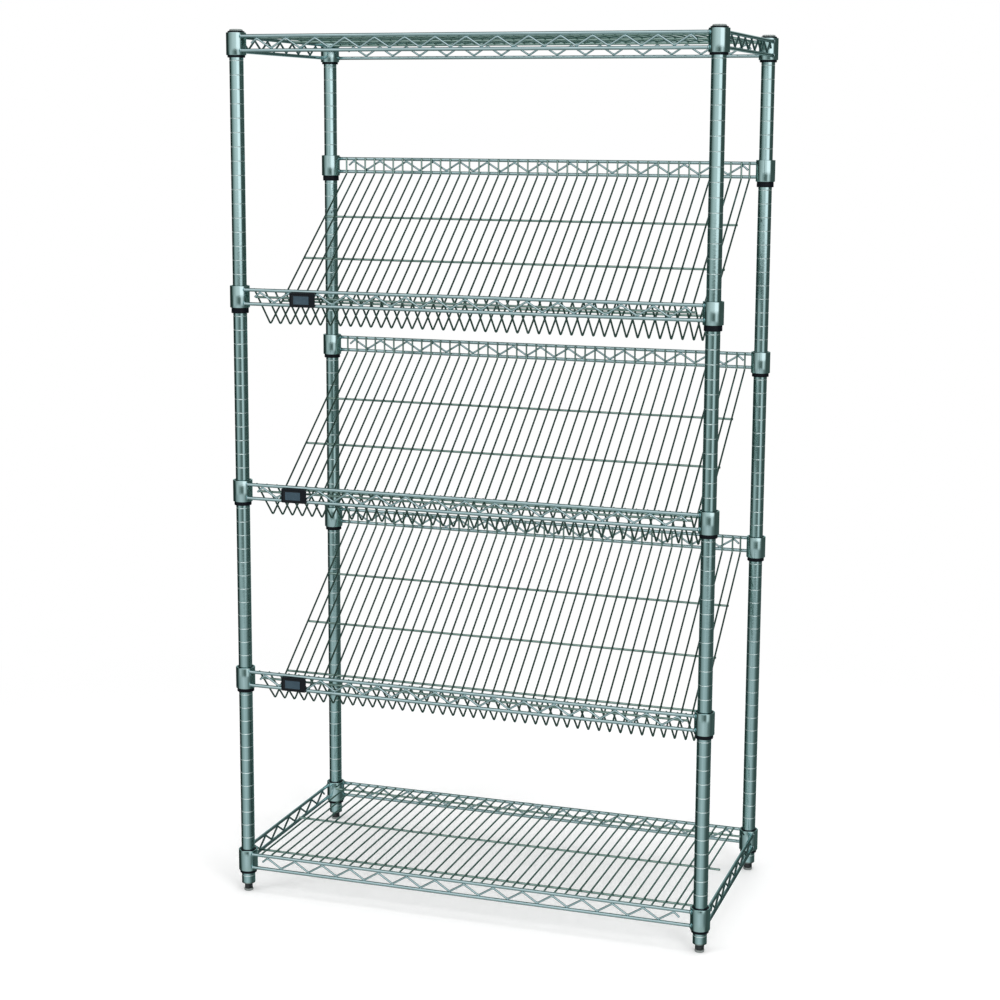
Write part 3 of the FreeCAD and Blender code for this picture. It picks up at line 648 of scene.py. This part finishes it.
def snake(start, end, z, across):
    """A zigzag wire and its weld beads between the rails from one collar to the other."""
    start, end = Vector(start), Vector(end)
    along = (end - start).normalized()
    length = (end - start).length - 2 * (SNAKE_MARGIN - RAIL_END)
    waves = max(1, round(length / SNAKE_WAVE))
    half_wave = length / waves / 2
    crest = RAIL_SPACING / 2 - RAIL_RADIUS - SNAKE_RADIUS + WELD
    # the bends round the corners off, so the corners lie beyond the crests that touch the rails
    lack = crest - SNAKE_BEND
    stretch = 1 - (2 * SNAKE_BEND / half_wave) ** 2
    corner = (lack + math.sqrt(lack ** 2 + stretch * (SNAKE_BEND ** 2 - lack ** 2))) / stretch
    middle = (start + end) / 2
    middle.z = z
    up = Vector((0, 0, 1))

    def at(run, rise):
        return middle + along * run + up * rise

    bends = [at(-length / 2 + index * half_wave, corner if index % 2 == 0 else -corner)
             for index in range(2 * waves + 1)]
    stub = length / 2 + STUB_RUN
    path = bent([at(-stub, corner - STUB_DROP), *bends, at(stub, corner - STUB_DROP)], SNAKE_BEND)
    yield wire(path, SNAKE_RADIUS, across, SNAKE_SIDES)
    for index in range(2 * waves + 1):
        rise = (crest + SNAKE_RADIUS) * (1 if index % 2 == 0 else -1)
        yield bead(at(-length / 2 + index * half_wave, rise), SNAKE_BEAD)


for level in FLAT + SLANTED:
    shells = []
    for start, end in list(rail_lines(level))[::2]:
        across = (0, 1, 0) if start[1] == end[1] else (1, 0, 0)
        shells += snake(start, end, start[2] + RAIL_SPACING / 2, across)
    piece(level + "_snake_wires", shells, level + "_shelf_snake_wires", wire_chrome)

# =========================================================================================== decks
# Thin wires lie side by side from front to back and carry the goods.  On the flat shelves they end
# at the inside of the upper rails.  On the slanted shelves each runs down behind the front truss,
# turns at the bottom of a trough, climbs to the back and turns up along the back truss.
DECK_RADIUS = 1.7 * MM
DECK_PITCH = 20 * MM
DECK_SIDES = 12
CROSS_RADIUS = 2.1 * MM
CROSS_SIDES = 14
TROUGH_RUN = 62 * MM
TROUGH_DROP = 35 * MM
DECK_BEND = 6 * MM
DECK_BEND_STEPS = 8
BACK_BEND_DROP = 4 * MM
WIRE_END = 2 * MM
RAIL_HEIGHT = 8 * MM
LIP_DROP = 11.4 * MM
SLOPE_CROSSES = (118 * MM, 219 * MM, 321 * MM)
DECK_BEAD = (2.1 * MM, 1 * MM)
END_BEAD_DROP = 0.5 * MM
END_BEAD_INSET = 1 * MM
# the deck wires' plating is a darker, greener copy of the rails' plating: painted shade of the dark
# ceiling and sides they mirror
deck_chrome_painted_dark = chrome("deck_chrome_painted_dark", (0.20, 0.32, 0.28), (0.40, 0.54, 0.50), (90.0, 90.0, 90.0))


def deck_places(low, high):
    """Places of the deck wires along X: even steps from the left, and one wire at the right end."""
    first, last = low.x + DECK_RADIUS, high.x - DECK_RADIUS
    steps = int((last - first) / DECK_PITCH)
    places = [first + step * DECK_PITCH for step in range(steps + 1)]
    return places + [last] if last - places[-1] > 3 * DECK_RADIUS else places


for level in FLAT:
    low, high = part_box(level + "_shelf_deck_wires")
    z = (low.z + high.z) / 2
    cross_low, cross_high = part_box(level + "_shelf_cross_wires")
    cross_y = (cross_low.y + CROSS_RADIUS, 0, cross_high.y - CROSS_RADIUS)
    cross_z = (cross_low.z + cross_high.z) / 2
    shells = []
    for x in deck_places(low, high):
        shells.append(wire([(x, low.y, z), (x, high.y, z)], DECK_RADIUS, (1, 0, 0), DECK_SIDES))
        shells += [bead((x, y, z - DECK_RADIUS), DECK_BEAD) for y in cross_y]
        shells += [bead((x, y, z - END_BEAD_DROP), DECK_BEAD, (0, 1, 0))
                   for y in (low.y + END_BEAD_INSET, high.y - END_BEAD_INSET)]
    piece(level + "_deck_wires", shells, level + "_shelf_deck_wires", deck_chrome_painted_dark)
    shells = [wire([(cross_low.x, y, cross_z), (cross_high.x, y, cross_z)], CROSS_RADIUS, (0, 0, 1),
                   CROSS_SIDES) for y in cross_y]
    piece(level + "_cross_wires", shells, level + "_shelf_cross_wires", deck_chrome_painted_dark)

for level in SLANTED:
    low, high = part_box(level + "_shelf_deck_wires")
    collar_low, collar_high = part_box(level + "_shelf_collars")
    rail_low, rail_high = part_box(level + "_shelf_rails")
    post_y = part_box("post_front_left")[0].y + POST_RADIUS
    rise = collar_high.z - COLLAR_LENGTH - collar_low.z
    front_y = rail_low.y + 2 * RAIL_RADIUS + DECK_RADIUS - WELD
    back_y = rail_high.y - 2 * RAIL_RADIUS - DECK_RADIUS + WELD
    end_z = collar_low.z + RAIL_HEIGHT + RAIL_SPACING + WIRE_END
    front = Vector((0, front_y, end_z))
    trough = Vector((0, post_y + TROUGH_RUN, collar_low.z - TROUGH_DROP))
    back = Vector((0, back_y, collar_low.z + rise + RAIL_HEIGHT - BACK_BEND_DROP))
    path = bent([front, trough, back, (0, back_y, end_z + rise)], DECK_BEND, DECK_BEND_STEPS)
    slope = (back - trough).normalized()
    square = Vector((0, slope.z, -slope.y))
    crosses = [trough + slope * ((post_y + run - trough.y) / slope.y) for run in SLOPE_CROSSES]
    fall = (trough - front).normalized()
    lip_z = end_z - WIRE_END - LIP_DROP
    lip = front + fall * ((lip_z - front.z) / fall.z)
    outside = Vector((0, fall.z, -fall.y))
    shells = []
    deck = wire(path, DECK_RADIUS, (1, 0, 0), DECK_SIDES)
    for x in deck_places(low, high):
        shells.append((deck[0] + np.array((x, 0, 0)), deck[1]))
        across = Vector((x, 0, 0))
        shells += [bead(across + cross + square * DECK_RADIUS, DECK_BEAD, square)
                   for cross in crosses]
        shells.append(bead(across + lip + outside * DECK_RADIUS, DECK_BEAD, outside))
        shells.append(bead((x, front_y - DECK_RADIUS, end_z - WIRE_END), DECK_BEAD, (0, 1, 0)))
        shells += [bead((x, back_y + DECK_RADIUS, end_z - WIRE_END + rise - below), DECK_BEAD,
                        (0, 1, 0)) for below in (0, RAIL_SPACING)]
    piece(level + "_deck_wires", shells, level + "_shelf_deck_wires", deck_chrome_painted_dark)

    beside = DECK_RADIUS + CROSS_RADIUS - WELD
    span_low, span_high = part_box(level + "_shelf_cross_wires")
    places = [cross + square * beside for cross in crosses]
    shells = [wire([(span_low.x, place.y, place.z), (span_high.x, place.y, place.z)], CROSS_RADIUS,
                   (0, 0, 1), CROSS_SIDES) for place in places]
    piece(level + "_cross_wires", shells, level + "_shelf_cross_wires", deck_chrome_painted_dark)
    place = lip + outside * beside
    lip_wire = wire([(span_low.x, place.y, place.z), (span_high.x, place.y, place.z)], CROSS_RADIUS,
                    (0, 0, 1), CROSS_SIDES)
    piece(level + "_lip_wire", [lip_wire], level + "_shelf_lip_wire", deck_chrome_painted_dark)

# =========================================================================================== labels
# A moulded black frame clips to the two front rails near the left post.  A blank slate-blue card
# with a satin face and a dark margin lies in its recess.
HOLDER_CORNER = 2.4 * MM
HOLDER_EDGE = 0.7 * MM
HOLDER_RIM = 3.2 * MM
HOLDER_LAND = 8 * MM
HOLDER_DEPTH = 3 * MM
RECESS = 1.2 * MM
KEY_INSET = 7.5 * MM
KEY_BITE = 0.2 * MM
KEY_CORNER = 0.6 * MM
CARD_CORNER = 0.8 * MM
CARD_BEVEL = 0.1 * MM
# where the card's printed margin ends, as shares of its width and height
CARD_LEFT = 0.13
CARD_FOOT = 0.10
CARD_TOP = 0.86


def rounded(low_x, high_x, low_z, high_z, corner, y, steps=5):
    """The points of a rectangle with round corners, facing the front."""
    points = []
    for centre_x, centre_z, start in ((high_x - corner, high_z - corner, 0),
                                      (low_x + corner, high_z - corner, 90),
                                      (low_x + corner, low_z + corner, 180),
                                      (high_x - corner, low_z + corner, 270)):
        for step in range(steps + 1):
            turn = math.radians(start + 90 * step / steps)
            points.append((centre_x + corner * math.cos(turn), y,
                           centre_z + corner * math.sin(turn)))
    return points


def stacked(rings):
    """A shell through outlines of equal count, with both ends filled."""
    count = len(rings[0])
    points = [point for ring in rings for point in ring]
    faces = [tuple(range(count)), tuple(range(len(points) - count, len(points)))]
    for here in range(0, len(points) - count, count):
        there = here + count
        faces += [(here + side, here + (side + 1) % count, there + (side + 1) % count, there + side)
                  for side in range(count)]
    return np.array(points), faces


def card_margin(shader):
    """A mask that is 1 in the card's printed margin: its left, lower and upper edge."""
    spot = shader.node("TexCoord", out=0)
    x = shader.node("SeparateXYZ", {}, {"Vector": spot}, out=0)
    z = shader.node("SeparateXYZ", {}, {"Vector": spot}, out=2)
    return 1 - (x > CARD_LEFT) * (z > CARD_FOOT) * (CARD_TOP - z > 0)


holder_plastic = plastic("holder_plastic", *BLACK, 0.18, 1400.0, 0.2)
card_blue = plastic("card_blue", (0.020, 0.042, 0.060), (0.055, 0.095, 0.125), 0.25, 700.0, 0.3,
                    card_margin)

for level in SLANTED:
    low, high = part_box(level + "_shelf_label_holder")
    rails_low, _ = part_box(level + "_shelf_rails")
    face, back = low.y, low.y + HOLDER_DEPTH
    # (inset from the outline, more at the right, corner radius, place along Y) from back to recess
    rings = [(0, 0, HOLDER_CORNER, back), (0, 0, HOLDER_CORNER, face + HOLDER_EDGE),
             (0.2 * MM, 0, HOLDER_CORNER - 0.2 * MM, face + 0.2 * MM),
             (HOLDER_EDGE, 0, 1.7 * MM, face),
             (HOLDER_RIM - 0.7 * MM, HOLDER_LAND, 1.4 * MM, face),
             (HOLDER_RIM - 0.2 * MM, HOLDER_LAND, 1.1 * MM, face + 0.3 * MM),
             (HOLDER_RIM, HOLDER_LAND, 1.0 * MM, face + RECESS)]
    frame_shell = stacked([rounded(low.x + inset, high.x - inset - land, low.z + inset,
                                   high.z - inset, corner, y) for inset, land, corner, y in rings])
    key_low, key_high = rails_low.z + 2 * RAIL_RADIUS, rails_low.z + RAIL_SPACING
    key = stacked([rounded(low.x + KEY_INSET, high.x - KEY_INSET, key_low, key_high, KEY_CORNER, y)
                   for y in (back - KEY_BITE, high.y)])
    piece(level + "_label_frame", [frame_shell, key], level + "_shelf_label_holder",
          holder_plastic)
    low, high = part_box(level + "_shelf_label_card")
    card = stacked([rounded(low.x + inset, high.x - inset, low.z + inset, high.z - inset,
                            CARD_CORNER, y)
                    for inset, y in ((0, high.y), (0, low.y + CARD_BEVEL), (CARD_BEVEL, low.y))])
    piece(level + "_blank_card", [card], level + "_shelf_label_card", card_blue)

# ================================================================================ floor and studio
# A white floor that runs out into a white room, with soft lamps in front and above.  Metal mirrors
# a studio in five bands of height under a dark ceiling: a white screen stands behind the rack, the
# sides are dark, and large soft panels stand in front.
FLOOR_REACH = 9.0
FLOOR_NEAR = 0.8
FLOOR_FAR = 2.0
FLOOR_DROP = 0.2 * MM
FLOOR_SIDES = 64
FLOOR_LIFT = 0.26
# sines of the heights between which each band of the mirrored room gives way to the one above it
BANDS = ((-0.55, -0.40), (-0.25, -0.20), (-0.09, -0.04), (0.22, 0.30), (0.86, 0.96))
CEILING = 0.12
PLAIN_LIGHT = (0.55, 0.55, 0.55, 1)
# name, place, point that it faces, width, height and power
LAMPS = (("right_panel", (2.6, -2.6, 1.9), (0, 0, 0.8), 1.4, 2.2, 55),
         ("left_panel", (-2.6, -2.2, 1.7), (0, 0, 0.8), 1.2, 2.2, 30),
         ("overhead_panel", (0.3, -0.2, 3.6), (0, 0, 0), 2.6, 2.0, 60))
floor_mesh = bpy.data.meshes.new("studio_floor")
floor_points = [(FLOOR_REACH * math.cos(turn), FLOOR_REACH * math.sin(turn), -FLOOR_DROP)
                for turn in np.linspace(0, 2 * math.pi, FLOOR_SIDES, endpoint=False)]
floor_mesh.from_pydata(floor_points, [], [tuple(range(FLOOR_SIDES))])
floor = bpy.data.objects.new("studio_floor", floor_mesh)
bpy.context.scene.collection.objects.link(floor)
floor.visible_glossy = False
floor_white, shader = material("floor_white")
place = shader.node("TexCoord", out=3)
away = shader.node("VectorMath", {"operation": "LENGTH"}, {"Vector": place}, out=1)
far = shader.node("MapRange", {"interpolation_type": "SMOOTHSTEP"},
                  {"Value": away, "From Min": FLOOR_NEAR, "From Max": FLOOR_FAR})
seen = shader.node("LightPath", out=0)
white = shader.node("Emission", {}, {"Color": (1, 1, 1, 1), "Strength": 1.0})
paint = shader.node("BsdfDiffuse", {}, {"Color": (0.80, 0.80, 0.80, 1)})
lift = shader.node("Emission", {}, {"Color": (1, 1, 1, 1), "Strength": FLOOR_LIFT})
lifted = shader.node("AddShader", {}, {"Shader": paint, "Shader_001": lift})
near = shader.node("MixShader", {}, {"Fac": seen, "Shader": paint, "Shader_001": lifted})
surface = shader.node("MixShader", {}, {"Fac": far * seen, "Shader": near, "Shader_001": white})
shader.node("OutputMaterial", {}, {"Surface": surface})
floor_mesh.materials.append(floor_white)

world = bpy.data.worlds.new("studio")
bpy.context.scene.world = world
shader = Shader(world)
heading = shader.node("TexCoord", out=0)
east = shader.node("SeparateXYZ", {}, {"Vector": heading}, out=0)
north = shader.node("SeparateXYZ", {}, {"Vector": heading}, out=1)
height = shader.node("SeparateXYZ", {}, {"Vector": heading}, out=2)
bearing = shader.node("Math", {"operation": "ARCTAN2"}, {"Value": east, "Value_001": north})
share = bearing * (0.5 / math.pi) + 0.5


def tinted(level, blue=1.0):
    """Light of a level: the darker it is, the greener."""
    return (level ** 1.14, level, blue * level ** 1.05, 1)


def around(levels, blue=1.0):
    """Light round the horizon from (share of a turn, level) pairs.

    0 and 1 look to the front, 0.25 to the left, 0.5 to the back and 0.75 to the right of the rack.
    """
    stops = [(place, tinted(level, blue)) for place, level in levels]
    return shader.node("ValToRGB", {"stops": stops}, {"Fac": share})


def climb(low, high):
    """0 below one height of the view and 1 above the other."""
    return shader.node("MapRange", {"interpolation_type": "SMOOTHSTEP"},
                       {"Value": height, "From Min": low, "From Max": high})


upper = around([(0.0, 0.85), (0.042, 0.78), (0.139, 0.45), (0.195, 0.22), (0.215, 0.04),
                (0.38, 0.04), (0.41, 0.9), (0.50, 0.9), (0.53, 0.10), (0.775, 0.10), (0.80, 0.45),
                (0.825, 1.4), (0.915, 1.4), (0.94, 0.95), (1.0, 0.85)])
middle = around([(0.0, 0.28), (0.03, 0.38), (0.08, 0.56), (0.111, 0.66), (0.16, 0.38), (0.20, 0.05),
                 (0.38, 0.05), (0.41, 0.8), (0.50, 0.8), (0.53, 0.12), (0.775, 0.10), (0.82, 0.45),
                 (0.855, 0.90), (0.885, 0.85), (0.92, 0.26), (0.955, 0.14), (1.0, 0.28)], 1.01)
lower = around([(0.0, 0.72), (0.09, 0.54), (0.18, 0.30), (0.21, 0.05), (0.38, 0.05), (0.41, 0.7),
                (0.50, 0.7), (0.53, 0.15), (0.75, 0.10), (0.84, 0.25), (0.90, 0.55), (1.0, 0.72)],
               1.03)
ground = around([(0.0, 0.60), (0.14, 0.50), (0.20, 0.12), (0.24, 0.05), (0.40, 0.05), (0.43, 0.4),
                 (0.48, 0.4), (0.51, 0.08), (0.77, 0.08), (0.84, 0.50), (1.0, 0.60)])
raised = around([(0.0, 1.3), (0.12, 1.1), (0.17, 0.2), (0.22, 0.06), (0.40, 0.10), (0.42, 0.5),
                 (0.49, 0.5), (0.52, 0.15), (0.77, 0.10), (0.82, 0.4), (0.86, 1.3), (1.0, 1.3)])
room = ground
for (low, high), band in zip(BANDS, (lower, middle, upper, raised, tinted(CEILING))):
    room = shader.between(climb(low, high), room, band)
seen = shader.node("LightPath", out=0)
mirrored = shader.node("LightPath", out=3)
through = shader.node("LightPath", out=6)
plain = shader.between(mirrored, PLAIN_LIGHT, room)
sky = shader.between(seen + through, plain, (1, 1, 1, 1))
light = shader.node("Background", {}, {"Color": sky, "Strength": 1.0})
shader.node("OutputWorld", {}, {"Surface": light})

for name, place, target, width, height, power in LAMPS:
    data = bpy.data.lights.new(name, "AREA")
    data.shape = "RECTANGLE"
    data.size, data.size_y, data.energy = width, height, power
    lamp = bpy.data.objects.new(name, data)
    lamp.location = place
    lamp.rotation_euler = (Vector(target) - Vector(place)).to_track_quat("-Z", "Y").to_euler()
    lamp.visible_glossy = False
    bpy.context.scene.collection.objects.link(lamp)

# ========================================================================================== camera
# Eye height, some way to the right of the middle, looking slightly down.
CAMERA_PLACE = (1.1703, -3.5208, 1.449)
CAMERA_YAW = 18.518
CAMERA_PITCH = 9.0
CAMERA_ROLL = 0.3
FOCAL_SHARE = 2.007
SHIFT = -0.06
SENSOR = 36
camera_data = bpy.data.cameras.new("camera")
camera_data.sensor_width = SENSOR
camera_data.lens = SENSOR * FOCAL_SHARE
camera_data.shift_y = SHIFT
camera = bpy.data.objects.new("camera", camera_data)
camera.location = CAMERA_PLACE
aim = Euler((math.radians(90 - CAMERA_PITCH), 0, math.radians(CAMERA_YAW))).to_quaternion()
camera.rotation_euler = (aim @ Quaternion((0, 0, 1), math.radians(CAMERA_ROLL))).to_euler()
bpy.context.scene.collection.objects.link(camera)
bpy.context.scene.camera = camera
bpy.context.scene.view_settings.view_transform = "Standard"
